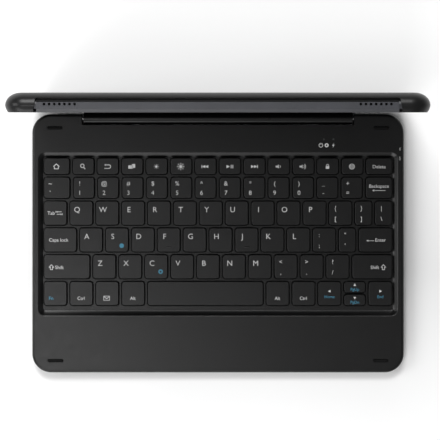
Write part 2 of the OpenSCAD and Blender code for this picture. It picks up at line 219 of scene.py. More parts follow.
def tone(colour, factor):
    return tuple(c * factor for c in colour)


def moulded(name, colour, rough=0.45, grain=0.16, depth=0.012, specular=0.5, vary=0.12):
    """Moulded plastic with a spark-eroded grain: grain and depth are in millimetres."""
    n = Nodes(name)
    cloud = n.noise(60, 3.0)
    fine = n.noise(1 / (grain * MM), 2.0, 0.6)
    n.join(n.ramp(cloud, tone(colour, 1 - vary), tone(colour, 1 + vary)), n.shader.inputs["Base Color"])
    n.join(n.spread(n.noise(220, 4.0, 0.6), rough - 0.06, rough + 0.06), n.shader.inputs["Roughness"])
    n.shader.inputs["Specular IOR Level"].default_value = specular
    n.bump(fine, depth * MM, 0.6)
    return n.material


def rubber(name, colour):
    n = Nodes(name)
    n.join(n.ramp(n.noise(300, 4.0), tone(colour, 0.7), tone(colour, 1.4)), n.shader.inputs["Base Color"])
    n.join(n.spread(n.noise(900, 3.0), 0.6, 0.8), n.shader.inputs["Roughness"])
    n.shader.inputs["Specular IOR Level"].default_value = 0.15
    n.bump(n.noise(4000, 2.0), 0.00003, 0.5)
    return n.material


def metal(name, colour, rough=0.3, brush=(400, 400, 12000)):
    """Rolled or drawn metal: brush is the grain's frequency along X, Y and Z."""
    n = Nodes(name)
    n.shader.inputs["Metallic"].default_value = 1.0
    mapping = n.add("ShaderNodeMapping")
    mapping.inputs["Scale"].default_value = brush
    n.join(n.place(), mapping.inputs["Vector"])
    lines = n.add("ShaderNodeTexNoise", Scale=1.0, Detail=3.0)
    n.join(mapping.outputs["Vector"], lines.inputs["Vector"])
    value = lines.outputs["Fac"]
    n.join(n.ramp(value, tone(colour, 0.85), tone(colour, 1.1)), n.shader.inputs["Base Color"])
    n.join(n.spread(value, rough - 0.08, rough + 0.12), n.shader.inputs["Roughness"])
    n.bump(value, 0.00001, 0.4)
    return n.material


def cloth(name, colour):
    """Microfibre: a very fine two-way weave under a short nap with brushed patches."""
    n = Nodes(name)
    threads = n.add("ShaderNodeMapping")
    threads.inputs["Scale"].default_value = (3200, 3200, 3200)
    n.join(n.place(), threads.inputs["Vector"])
    weave = n.add("ShaderNodeTexVoronoi", Scale=1.0, Randomness=0.55)
    n.join(threads.outputs["Vector"], weave.inputs["Vector"])
    nap = n.noise(45, 3.0, 0.6)
    n.join(n.ramp(nap, tone(colour, 0.88), tone(colour, 1.14)), n.shader.inputs["Base Color"])
    n.join(n.spread(n.noise(500, 3.0), 0.82, 0.97), n.shader.inputs["Roughness"])
    n.shader.inputs["Sheen Weight"].default_value = 0.35
    n.shader.inputs["Sheen Roughness"].default_value = 0.4
    n.shader.inputs["Specular IOR Level"].default_value = 0.25
    n.bump(weave.outputs["Distance"], 0.00006, 0.8)
    return n.material


def printed(name, colour):
    """Pad-printed ink, a little uneven where it is thin."""
    n = Nodes(name)
    n.join(n.ramp(n.noise(2500, 2.0), tone(colour, 0.88), tone(colour, 1.0)), n.shader.inputs["Base Color"])
    n.join(n.spread(n.noise(1200, 2.0), 0.45, 0.6), n.shader.inputs["Roughness"])
    return n.material


def film(name, colour, rough, cells=900.0, ink=0.8):
    """Foil, film or board: a plain sheet with a printed or pressed cell pattern."""
    n = Nodes(name)
    pattern = n.add("ShaderNodeTexVoronoi", Scale=cells, Randomness=0.2)
    n.join(n.place(), pattern.inputs["Vector"])
    value = pattern.outputs["Distance"]
    n.join(n.ramp(value, tone(colour, ink), colour, 0.2, 0.5), n.shader.inputs["Base Color"])
    n.join(n.spread(value, rough, rough + 0.15), n.shader.inputs["Roughness"])
    n.bump(value, 0.00002, 0.3)
    return n.material


DECK_BLACK = moulded("deck_black", (0.003, 0.003, 0.0031), 0.33, 0.13, 0.006, 0.36)
TRAY_BLACK = moulded("tray_black", (0.0035, 0.0035, 0.0037), 0.45, 0.22, 0.015)
KEY_BLACK = moulded("key_black", (0.0033, 0.0033, 0.0035), 0.34, 0.1, 0.005, 0.36)
LID_BLACK = moulded("lid_black", (0.0035, 0.0035, 0.0037), 0.36, 0.15, 0.006, 0.32)
CRADLE_GREY = moulded("cradle_grey", (0.034, 0.035, 0.041), 0.4, 0.12, 0.008)
BARREL_BLACK = moulded("barrel_black", (0.001, 0.001, 0.001), 0.3, 0.15, 0.006, 0.3)
RUBBER_BLACK = rubber("rubber_black", (0.0015, 0.0015, 0.0015))
PAD_CLOTH = cloth("pad_cloth", (0.02, 0.02, 0.023))
INK_WHITE = printed("ink_white", (0.72, 0.72, 0.72))
INK_BLUE = printed("ink_blue", (0.06, 0.28, 0.42))
STEEL = metal("rolled_steel", (0.5, 0.51, 0.52), 0.34)
PIN_STEEL = metal("pin_steel", (0.55, 0.55, 0.56), 0.22, (12000, 300, 300))
SCREW_STEEL = metal("screw_steel", (0.1, 0.1, 0.105), 0.36, (3000, 3000, 600))
NICKEL = metal("nickel", (0.6, 0.58, 0.54), 0.2, (600, 600, 600))
FILM = film("membrane_film", (0.55, 0.5, 0.36), 0.25, 260.0, 0.6)
# Dome sheet under the keys, near black: painted shade for the gaps between the keys, through which it
# shows.
SILICONE_SHADE_BLACK = rubber("silicone", (0.012, 0.012, 0.012))
BOARD = film("board_green", (0.02, 0.13, 0.05), 0.3, 520.0, 0.55)
CHIP = moulded("chip_black", (0.02, 0.02, 0.02), 0.5, 0.08, 0.01)
FOIL = film("cell_foil", (0.6, 0.6, 0.62), 0.25, 420.0, 0.92)
FLAT_CABLE = film("flat_cable", (0.45, 0.17, 0.04), 0.3, 1400.0, 0.7)
SWITCH_BODY = moulded("switch_body", (0.03, 0.03, 0.032), 0.5, 0.1, 0.01)
LIGHT_PIPE = film("light_pipe", (0.03, 0.032, 0.032), 0.3, 3000.0, 0.9)

NODE_MATERIALS = {
    "key_backplate": STEEL,
    "membrane_circuit": FILM,
    "dome_sheet": SILICONE_SHADE_BLACK,
    "controller_board": BOARD,
    "board_chips": CHIP,
    "battery_cells": FOIL,
    "battery_lead": FLAT_CABLE,
    "switch_body": SWITCH_BODY,
    "charging_socket": NICKEL,
    "status_lights": LIGHT_PIPE,
    "base_magnets": NICKEL,
    "hinge_leaves": STEEL,
    "hinge_pins": PIN_STEEL,
    "hinge_end_caps": TRAY_BLACK,
    "friction_clips": STEEL,
    "lid_screws": SCREW_STEEL,
    "lid_magnets": NICKEL,
}
for node, material in NODE_MATERIALS.items():
    mesh = frame["nodes"][node].data
    mesh.materials.clear()
    mesh.materials.append(material)


# ---------------------------------------------------------------------------
# Mesh helpers: every mesh is drawn in millimetres
# ---------------------------------------------------------------------------
def outline(w, d, r, steps=8):
    """Points of a rectangle with round corners, anticlockwise from the right side."""
    r = min(r, w / 2 - 1e-3, d / 2 - 1e-3)
    points = []
    for corner in range(4):
        cx = (w / 2 - r) * (1 if corner in (0, 3) else -1)
        cy = (d / 2 - r) * (1 if corner < 2 else -1)
        for i in range(steps + 1):
            a = math.pi / 2 * (corner + i / steps)
            points.append((cx + r * math.cos(a), cy + r * math.sin(a)))
    return points


def circle(r, steps=32):
    angles = [2 * math.pi * i / steps for i in range(steps)]
    return [(r * math.cos(a), r * math.sin(a)) for a in angles]


def arc(cx, cy, rx, ry, start, end, steps):
    """Points on an ellipse's arc; the angles are in degrees."""
    found = []
    for i in range(steps + 1):
        a = math.radians(start + (end - start) * i / steps)
        found.append((cx + rx * math.cos(a), cy + ry * math.sin(a)))
    return found


def loft(bm, rings):
    """Closed skin over rings of points, with a face at each end."""
    loops = [[bm.verts.new(p) for p in ring] for ring in rings]
    for low, high in zip(loops, loops[1:]):
        count = len(low)
        for i in range(count):
            j = (i + 1) % count
            bm.faces.new((low[i], low[j], high[j], high[i]))
    bm.faces.new(list(reversed(loops[0])))
    bm.faces.new(loops[-1])


def slab(bm, w, d, r, profile, at=(0, 0), steps=8, least=0.3):
    """Rounded rectangle lofted through a profile of (inset, height) pairs."""
    rings = []
    for inset, z in profile:
        points = outline(w - 2 * inset, d - 2 * inset, max(r - inset, least), steps)
        rings.append([(at[0] + x, at[1] + y, z) for x, y in points])
    loft(bm, rings)


def lathe(bm, at, profile, steps=32):
    """Solid of revolution about a vertical axis through a profile of (radius, height) pairs."""
    loft(bm, [[(at[0] + x, at[1] + y, z) for x, y in circle(r, steps)] for r, z in profile])


def prism(bm, points, place_low, place_high):
    """Extrusion of a flat outline: each place function turns a point into a 3-D one."""
    loft(bm, [[place_low(p) for p in points], [place_high(p) for p in points]])


def along_x(bm, points, x0, x1):
    """Extrusion along X of an outline of (y, z) points."""
    prism(bm, points, lambda p: (x0, p[0], p[1]), lambda p: (x1, p[0], p[1]))


def block(bm, low, high):
    ring = [(low[1], low[2]), (high[1], low[2]), (high[1], high[2]), (low[1], high[2])]
    along_x(bm, ring, low[0], high[0])


def solid(draw):
    """Object whose mesh draw(bm) makes, in millimetres."""
    bm = bmesh.new()
    draw(bm)
    bmesh.ops.recalc_face_normals(bm, faces=bm.faces)
    mesh = bpy.data.meshes.new("solid")
    bm.to_mesh(mesh)
    bm.free()
    obj = bpy.data.objects.new("solid", mesh)
    bpy.context.scene.collection.objects.link(obj)
    return obj


def combine(obj, other, operation):
    """Boolean of two closed meshes; the other object is used up."""
    modifier = obj.modifiers.new("combine", "BOOLEAN")
    modifier.operation = operation
    modifier.solver = "MANIFOLD"
    modifier.object = other
    bpy.context.view_layer.update()
    evaluated = obj.evaluated_get(bpy.context.evaluated_depsgraph_get())
    mesh = bpy.data.meshes.new_from_object(evaluated)
    obj.modifiers.clear()
    obj.data = mesh
    bpy.data.objects.remove(other)
    return obj


def cut(obj, draw):
    return combine(obj, solid(draw), "DIFFERENCE")


def add(obj, draw):
    return combine(obj, solid(draw), "UNION")


def piece(obj, name, body, material, to_row, replaces=(), sharp=32.0):
    """Finishes a mesh as a named piece that rides on a body."""
    mesh = obj.data
    mesh.transform(to_row)
    mesh.materials.clear()
    mesh.materials.append(material)
    bm = bmesh.new()
    bm.from_mesh(mesh)
    bmesh.ops.remove_doubles(bm, verts=bm.verts, dist=1e-6)
    bmesh.ops.dissolve_degenerate(bm, edges=bm.edges, dist=1e-6)
    bm.to_mesh(mesh)
    bm.free()
    mesh.polygons.foreach_set("use_smooth", [True] * len(mesh.polygons))
    mesh.set_sharp_from_angle(angle=math.radians(sharp))
    obj.name = name
    mesh.name = name
    obj.modifiers.new("weighted", "WEIGHTED_NORMAL").keep_sharp = True
    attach(obj, body)
    if replaces:
        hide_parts(*replaces)
    return obj


# ---------------------------------------------------------------------------
# Keys
# ---------------------------------------------------------------------------
def islands(node):
    """Boxes of a CAD node's separate solids, in millimetres in the base's plan."""
    mesh = frame["nodes"][node].data
    key_of = [tuple(round(c, 6) for c in v.co) for v in mesh.vertices]
    parent = {key: key for key in key_of}

    def root(key):
        while parent[key] != key:
            parent[key] = parent[parent[key]]
            key = parent[key]
        return key

    for edge in mesh.edges:
        a, b = (root(key_of[i]) for i in edge.vertices)
        parent[a] = b
    groups = {}
    for key in parent:
        groups.setdefault(root(key), []).append(key)
    boxes = []
    for points in groups.values():
        xs, ys = [p[0] / MM for p in points], [p[1] / MM - BASE_Y for p in points]
        boxes.append((min(xs), min(ys), max(xs), max(ys)))
    return boxes


KEY_BODIES = [body for body in frame["bodies"] if body.startswith("key_") or body.endswith("_keys")]
keys = [(body, *box) for body in KEY_BODIES for box in islands(body)]
KEY_TOP = box_mm("key_q")[1].z
POST_Z = box_mm("key_q")[0].z
KEY_LOW = POST_Z + 0.3
# Middles of the six rows of keys, from the back
ROW_MIDS = [51.0, 36.8, 20.0, 2.3, -15.5, -33.2]


def row_of(key):
    middle = (key[2] + key[4]) / 2
    return min(range(len(ROW_MIDS)), key=lambda i: abs(ROW_MIDS[i] - middle))


rows = [sorted((k for k in keys if row_of(k) == i), key=lambda k: (round(k[1]), -k[2])) for i in range(6)]


def draw_cap(bm, key):
    """Keycap: hollow underneath, upright sides, a soft upper edge and a central post."""
    x0, y0, x1, y1 = key[1:]
    at = ((x0 + x1) / 2, (y0 + y1) / 2)
    soft = 0.3
    roof = KEY_TOP - 1.0
    inside = [(1.0, roof), (0.9, roof - 0.1), (0.9, KEY_LOW)]
    outside = [(0.0, KEY_LOW), (0.0, KEY_TOP - soft)]
    edge = [(soft * (1 - math.cos(a)), KEY_TOP - soft * (1 - math.sin(a)))
            for a in (math.pi / 2 * i / 5 for i in range(1, 6))]
    slab(bm, x1 - x0, y1 - y0, KEY_R, inside + outside + edge, at, 6)
    lathe(bm, at, [(1.8, POST_Z), (2.0, POST_Z + 0.2), (2.0, roof)], 20)


def draw_homing_bar(bm, key):
    middle = (key[1] + key[3]) / 2
    profile = [(0, KEY_TOP - 0.1), (0, KEY_TOP + 0.1), (0.15, KEY_TOP + 0.2)]
    slab(bm, 3.6, 0.7, 0.3, profile, (middle, key[4] - 12.6), 4, 0.1)


def make_caps():
    for body in KEY_BODIES:
        mine = [k for k in keys if k[0] == body]

        def draw(bm, mine=mine, body=body):
            for key in mine:
                draw_cap(bm, key)
                if body in ("key_f", "key_j"):
                    draw_homing_bar(bm, key)

        name = "cap_" + body.replace("key_", "")
        piece(solid(draw), name, body, KEY_BLACK, base_to_row, [body])


# ---------------------------------------------------------------------------
# Legends: flat shapes, each a list of outlines, later raised by the ink's thickness
# ---------------------------------------------------------------------------
INK = 0.02


class Ink:
    """Collects flat printed shapes for one body and one colour."""

    def __init__(self):
        self.bm = bmesh.new()

    def poly(self, points):
        faces = []
        for z in (0.0, INK):
            faces.append([self.bm.verts.new((x, y, z)) for x, y in points])
        low, high = faces
        self.bm.faces.new(list(reversed(low)))
        self.bm.faces.new(high)
        for i in range(len(points)):
            j = (i + 1) % len(points)
            self.bm.faces.new((low[i], low[j], high[j], high[i]))

    def rect(self, cx, cy, w, h):
        x0, x1, y0, y1 = cx - w / 2, cx + w / 2, cy - h / 2, cy + h / 2
        self.poly([(x0, y0), (x1, y0), (x1, y1), (x0, y1)])

    def disc(self, cx, cy, r, steps=20):
        self.poly(arc(cx, cy, r, r, 0, 360 - 360 / steps, steps - 1))

    def band(self, left, right):
        """Closed strip between two lines of points."""
        for i in range(len(left) - 1):
            self.poly([left[i], right[i], right[i + 1], left[i + 1]])

    def line(self, points, t=0.3):
        """A stroke of thickness t through the points, mitred at its corners."""
        dots = [Vector(p) for p in points]
        ways = [(b - a).normalized() for a, b in zip(dots, dots[1:])]
        closed = (dots[0] - dots[-1]).length < 1e-6
        left, right = [], []
        for i, dot in enumerate(dots):
            before = ways[i - 1] if i > 0 or closed else ways[0]
            after = ways[i] if i < len(ways) else (ways[0] if closed else ways[-1])
            mitre = (before + after).normalized()
            reach = t / 2 / max(mitre.dot(after), 0.4)
            side = Vector((-mitre.y, mitre.x)) * reach
            left.append(tuple(dot + side))
            right.append(tuple(dot - side))
        self.band(left, right)

    def curve(self, cx, cy, rx, ry, start, end, t=0.3, steps=16):
        """A stroke of thickness t along an ellipse's arc."""
        outer = arc(cx, cy, rx + t / 2, ry + t / 2, start, end, steps)
        inner = arc(cx, cy, rx - t / 2, ry - t / 2, start, end, steps)
        self.band(outer, inner)

    def text(self, words, cx, cy, cap, align="CENTER", turn=0.0, stretch=1.0):
        """Words whose capital letters are cap millimetres high, centred on cy."""
        curve = bpy.data.curves.new("words", "FONT")
        curve.body = words
        curve.size = cap / CAP_RATIO
        curve.align_x = align
        curve.extrude = INK / 2
        curve.resolution_u = 3
        obj = bpy.data.objects.new("words", curve)
        bpy.context.scene.collection.objects.link(obj)
        bpy.context.view_layer.update()
        mesh = bpy.data.meshes.new_from_object(obj.evaluated_get(bpy.context.evaluated_depsgraph_get()))
        place = (
            Matrix.Translation((cx, cy, INK / 2))
            @ Matrix.Rotation(math.radians(turn), 4, "Z")
            @ Matrix.Translation((0, -cap / 2, 0))
            @ Matrix.Diagonal((stretch, 1, 1, 1))
        )
        mesh.transform(place)
        self.bm.from_mesh(mesh)
        bpy.data.objects.remove(obj)
        bpy.data.curves.remove(curve)
        bpy.data.meshes.remove(mesh)

    def to_piece(self, name, body, material, z, slot):
        if not self.bm.faces:
            self.bm.free()
            return None
        mesh = bpy.data.meshes.new(name)
        self.bm.to_mesh(mesh)
        self.bm.free()
        mesh.transform(Matrix.Translation((0, 0, z)))
        mesh.transform(base_to_row)
        mesh.materials.append(material)
        obj = bpy.data.objects.new(name, mesh)
        bpy.context.scene.collection.objects.link(obj)
        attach(obj, body)
        return obj


# Height of a capital letter for each unit of the font's size
CAP_RATIO = 0.729


def icon_home(ink, x, y):
    ink.line([(x - 2.0, y - 0.1), (x, y + 1.7), (x + 2.0, y - 0.1)], 0.5)
    ink.line([(x - 1.3, y), (x - 1.3, y - 1.5), (x + 1.3, y - 1.5), (x + 1.3, y)], 0.5)


def icon_search(ink, x, y):
    ink.curve(x - 0.4, y + 0.5, 1.15, 1.15, 0, 360, 0.5)
    ink.line([(x + 0.4, y - 0.4), (x + 1.5, y - 1.7)], 0.6)


def icon_back(ink, x, y):
    ink.line([(x - 1.7, y + 1.1), (x + 1.0, y + 1.1)], 0.5)
    ink.curve(x + 1.0, y - 0.05, 1.15, 1.15, 90, -90, 0.5)
    ink.line([(x + 1.0, y - 1.2), (x - 2.0, y - 1.2)], 0.5)
    ink.poly([(x - 2.2, y + 1.1), (x - 0.9, y + 0.3), (x - 0.9, y + 1.9)])


def icon_windows(ink, x, y):
    ink.rect(x - 0.9, y - 0.3, 2.9, 2.2)
    ink.rect(x + 1.1, y + 0.4, 2.2, 2.6)


def icon_dim(ink, x, y):
    ink.disc(x, y, 0.8)
    for i in range(8):
        a = math.radians(45 * i)
        ink.disc(x + 1.45 * math.cos(a), y + 1.45 * math.sin(a), 0.22, steps=8)


def icon_bright(ink, x, y):
    ink.disc(x, y, 1.0)
    for i in range(8):
        c, s = math.cos(math.radians(45 * i)), math.sin(math.radians(45 * i))
        ink.line([(x + 1.4 * c, y + 1.4 * s), (x + 2.5 * c, y + 2.5 * s)], 0.45)


def triangle(ink, x, y, size, turn):
    """Solid triangle with its point towards turn degrees."""
    ink.poly([(x + size * math.cos(math.radians(turn + a)), y + size * math.sin(math.radians(turn + a)))
              for a in (0, 125, 235)])


def icon_previous(ink, x, y):
    ink.rect(x - 2.2, y, 0.45, 2.2)
    triangle(ink, x - 0.7, y, 1.3, 180)
    triangle(ink, x + 1.3, y, 1.3, 180)


def icon_play(ink, x, y):
    triangle(ink, x - 1.3, y, 1.4, 0)
    ink.rect(x + 1.0, y, 0.55, 2.3)
    ink.rect(x + 2.1, y, 0.55, 2.3)


def icon_next(ink, x, y):
    triangle(ink, x - 1.3, y, 1.3, 0)
    triangle(ink, x + 0.7, y, 1.3, 0)
    ink.rect(x + 2.2, y, 0.45, 2.2)


def speaker(ink, x, y):
    ink.rect(x - 0.9, y, 1.0, 1.1)
    ink.poly([(x - 0.8, y), (x + 0.6, y - 1.4), (x + 0.6, y + 1.4)])


def icon_quieter(ink, x, y):
    speaker(ink, x - 0.5, y)
    ink.curve(x + 0.4, y, 0.8, 0.8, -55, 55, 0.35, 8)


def icon_louder(ink, x, y):
    speaker(ink, x - 0.9, y)
    ink.curve(x - 0.1, y, 0.9, 1.0, -55, 55, 0.4, 8)
    ink.curve(x - 0.1, y, 1.8, 2.0, -55, 55, 0.4, 10)


def icon_lock(ink, x, y):
    ink.rect(x, y - 0.6, 2.3, 1.9)
    ink.curve(x, y + 0.5, 0.75, 0.95, 0, 180, 0.45, 10)


def icon_globe(ink, x, y):
    ink.curve(x, y, 1.7, 1.7, 0, 360, 0.45, 24)
    ink.curve(x, y, 0.75, 1.7, 0, 360, 0.35, 20)
    for dy in (-0.75, 0.0, 0.75):
        half = math.sqrt(1.7 ** 2 - dy ** 2)
        ink.rect(x, y + dy, 2 * half, 0.3)


def icon_mail(ink, x, y):
    left, right, low, high = x - 1.9, x + 1.9, y - 1.35, y + 1.35
    ink.line([(left, low), (right, low), (right, high), (left, high), (left, low)], 0.3)
    ink.line([(left + 0.1, high - 0.2), (x, y - 0.4), (right - 0.1, high - 0.2)], 0.35)


def icon_shift(ink, x, y):
    ink.line([(x - 0.7, y - 1.6), (x + 0.7, y - 1.6), (x + 0.7, y), (x + 1.5, y), (x, y + 1.7),
              (x - 1.5, y), (x - 0.7, y), (x - 0.7, y - 1.6)], 0.34)


def icon_tab(ink, x, y):
    for dy, way in ((0.8, -1), (-0.8, 1)):
        ink.line([(x - 1.6 * way, y + dy), (x + 1.6 * way, y + dy)], 0.35)
        triangle(ink, x + 1.4 * way, y + dy, 0.65, 0 if way > 0 else 180)
        ink.rect(x + 2.2 * way, y + dy, 0.3, 1.1)


def arrow_left(ink, x, y, length):
    ink.line([(x - length / 2 + 0.8, y), (x + length / 2, y)], 0.3)
    triangle(ink, x - length / 2 + 0.7, y, 0.85, 180)


ICONS = [icon_home, icon_search, icon_back, icon_windows, icon_dim, icon_bright, icon_previous,
         icon_play, icon_next, icon_quieter, icon_louder, icon_lock, icon_globe]
LETTERS = {2: "QWERTYUIOP", 3: "ASDFGHJKL", 4: "ZXCVBNM"}
PAIRS = {
    (1, 0): "~`", (1, 1): "!1", (1, 2): "@2", (1, 3): "#3", (1, 4): "$4", (1, 5): "%5", (1, 6): "^6",
    (1, 7): "&7", (1, 8): "*8", (1, 9): "(9", (1, 10): ")0", (1, 11): "_-", (1, 12): "+=",
    (2, 11): "{[", (2, 12): "}]", (2, 13): "|\\", (3, 10): ":;", (3, 11): "\"'",
    (4, 8): "<,", (4, 9): ">.", (4, 10): "?/",
}
LETTER_CAP = 3.7
DIGIT_CAP = 3.0
WORD_CAP = 2.35


def print_pair(ink, key, words):
    """Two signs, one over the other, near the left of a key."""
    x = key[1] + 4.0
    depth = key[4] - key[2]
    cap = DIGIT_CAP if depth < 15 else 2.9
    ink.text(words[0], x, key[4] - 0.29 * depth, cap)
    ink.text(words[1], x, key[4] - 0.74 * depth, cap)


def print_words(white, blue):
    """Every legend that isn't a letter, a pair or a shortcut icon."""
    def middle(key):
        return (key[1] + key[3]) / 2, (key[2] + key[4]) / 2

    tab, caps, enter = rows[2][0], rows[3][0], rows[3][12]
    shift_left, shift_right = rows[4][0], rows[4][11]
    delete, backspace = rows[0][13], rows[1][13]

    x, y = middle(tab)
    white["other_keys"].text("Tab", tab[1] + 4.6, y, WORD_CAP)
    icon_tab(white["other_keys"], tab[1] + 9.9, y)
    x, y = middle(caps)
    white["other_keys"].text("Caps lock", caps[1] + 3.1, y, WORD_CAP, "LEFT")
    x, y = middle(enter)
    arrow_left(white["key_enter"], enter[1] + 7.4, y - 0.6, 5.0)
    white["key_enter"].text("Enter", enter[1] + 10.5, y, WORD_CAP, "LEFT")
    x, y = middle(shift_left)
    icon_shift(white["other_keys"], shift_left[1] + 4.8, y - 0.4)
    white["other_keys"].text("Shift", shift_left[1] + 7.2, y - 0.4, WORD_CAP, "LEFT")
    x, y = middle(shift_right)
    white["other_keys"].text("Shift", shift_right[3] - 14.2, y - 0.4, WORD_CAP, "LEFT")
    icon_shift(white["other_keys"], shift_right[3] - 5.6, y - 0.4)
    x, y = middle(delete)
    white["function_keys"].text("Delete", x, y - 0.3, WORD_CAP)
    x, y = middle(backspace)
    white["key_backspace"].text("Backspace", x, y + 1.1, WORD_CAP)
    arrow_left(white["key_backspace"], x, y - 1.9, 8.6)

    bottom = rows[5]
    low_y = bottom[0][4] - 10.9
    blue["other_keys"].text("Fn", bottom[0][1] + 4.6, low_y, WORD_CAP, stretch=1.05)
    for key, words in ((bottom[1], "Ctrl"), (bottom[3], "Alt"), (bottom[5], "Alt"), (bottom[6], "Ctrl")):
        white["other_keys"].text(words, middle(key)[0] - 0.2, low_y, WORD_CAP, stretch=0.92)
    icon_mail(white["other_keys"], middle(bottom[2])[0] - 0.4, low_y)

    home, page_up, page_down, end = bottom[7], bottom[8], bottom[9], bottom[10]
    for key, turn, word, drop_arrow, drop_word in (
        (home, 180, "Home", 6.3, 9.9), (end, 0, "End", 6.3, 9.9),
        (page_up, 90, "PgUp", 2.2, 5.0), (page_down, 270, "PgDn", 2.2, 5.0),
    ):
        x = middle(key)[0]
        triangle(white["other_keys"], x, key[4] - drop_arrow, 1.1, turn)
        blue["other_keys"].text(word, x, key[4] - drop_word, 2.0)

    # Plain marks of our own for the second functions: a disc on S, a ring on C
    disc, ring = rows[3][2], rows[4][3]
    blue["key_s"].disc(disc[1] + 10.5, disc[4] - 11.7, 1.5)
    blue["key_c"].curve(ring[1] + 10.3, ring[4] - 11.1, 1.1, 1.1, 0, 360, 0.8, 20)


def print_keys():
    white = {body: Ink() for body in KEY_BODIES}
    blue = {body: Ink() for body in KEY_BODIES}
    for col, icon in enumerate(ICONS):
        key = rows[0][col]
        icon(white["function_keys"], (key[1] + key[3]) / 2 - 0.3, (key[2] + key[4]) / 2 - 0.3)
    for row, letters in LETTERS.items():
        for col, letter in enumerate(letters, 1):
            key = rows[row][col]
            white[key[0]].text(letter, key[1] + 4.6, key[4] - 5.4, LETTER_CAP)
    for (row, col), words in PAIRS.items():
        print_pair(white[rows[row][col][0]], rows[row][col], words)
    print_words(white, blue)
    for body in KEY_BODIES:
        short = body.replace("key_", "")
        white[body].to_piece("legend_" + short, body, INK_WHITE, KEY_TOP, "print_white")
        blue[body].to_piece("legend_blue_" + short, body, INK_BLUE, KEY_TOP, "print_blue")


def print_deck():
    """Power, link and charge signs by the lights, and the switch's two ends."""
    ink = Ink()
    y = 64.8
    ink.curve(68.0, y, 1.25, 1.25, 115, 425, 0.42, 20)
    ink.line([(68.0, y + 0.4), (68.0, y + 1.6)], 0.42)
    ink.curve(71.8, y, 0.95, 0.95, 0, 360, 0.8, 20)
    ink.poly([(76.7, y + 1.6), (75.4, y - 0.3), (76.2, y - 0.3),
              (75.8, y - 1.7), (77.1, y + 0.4), (76.3, y + 0.4)])
    ink.text("ON", 120.3, 62.3, 1.0, turn=90)
    ink.text("OFF", 120.3, 56.1, 1.0, turn=90)
    ink.to_piece("deck_print", "base", INK_WHITE, DECK_Z, "print_white")


# ---------------------------------------------------------------------------
# Base
# ---------------------------------------------------------------------------
def fillet(r, z_end, top, steps=8):
    """(inset, height) pairs round an edge of radius r that ends at height z_end."""
    found = []
    for i in range(1, steps + 1):
        a = math.pi / 2 * i / steps
        if top:
            found.append((r * (1 - math.cos(a)), z_end - r * (1 - math.sin(a))))
        else:
            found.append((r * (1 - math.sin(a)), z_end + r * (1 - math.cos(a))))
    return found


def draw_notch(bm):
    """Room for the hinge barrel, with a softened upper edge."""
    profile = [(0, -2), (0, DECK_Z - 0.4), (-0.1, DECK_Z - 0.15), (-0.4, DECK_Z), (-0.4, DECK_Z + 2)]
    slab(bm, 2 * NOTCH_HALF, 40, 0.8, profile, (0, NOTCH_Y + 20), 4)


def draw_cavity(bm, z0, z1):
    slab(bm, CASE_W - 2 * WALL, BASE_D - 2 * WALL, CORNER_R - WALL, [(0, z0), (0, z1)], steps=10)


def cavity(z0, z1):
    """Space inside the base, with a wall left round the notch."""
    space = solid(lambda bm: draw_cavity(bm, z0, z1))
    half, front = NOTCH_HALF + WALL, NOTCH_Y - WALL
    return cut(space, lambda bm: block(bm, (-half, front, -5), (half, 120, 20)))


# Radius and two ends along X
PIN_ROOM = (1.3, 88.9, 92.0)
KNUCKLE_ROOM = (2.0, 91.9, 104.5)


def draw_hinge_room(bm):
    """Room for the knuckles and holes for the pins, on both sides."""
    for side in (-1, 1):
        for r, x0, x1 in (PIN_ROOM, KNUCKLE_ROOM):
            ring = [(HINGE_Y + a, HINGE_Z + b) for a, b in circle(r, 24)]
            along_x(bm, ring, side * x0, side * x1)


SCREWS = [(-106, -80), (106, -80), (-98, -62), (98, -62), (0, -66),
          (-115.5, 74.2), (115.5, 74.2), (-80, 69), (-4, 69)]
BUMPERS = [(-108, 76.3), (108, 76.3), (-107.5, -77.6), (107.5, -77.6)]
BUMPER = (10.2, 2.0, 1.0)
FEET = [(-105, -70), (105, -70), (-105, 70), (105, 70)]
LIGHTS = [(70, 68.7), (76.3, 68.7)]
POSTS = [(16, 65), (84, 65), (16, 73), (84, 73)]
SWITCH_Y = 59.2
SWITCH_HALF = 3
SWITCH_Z = (2.8, 4.4)
SOCKET_AT = (68.0, 3.7)
SOCKET = (7.2, 2.0, 0.9)


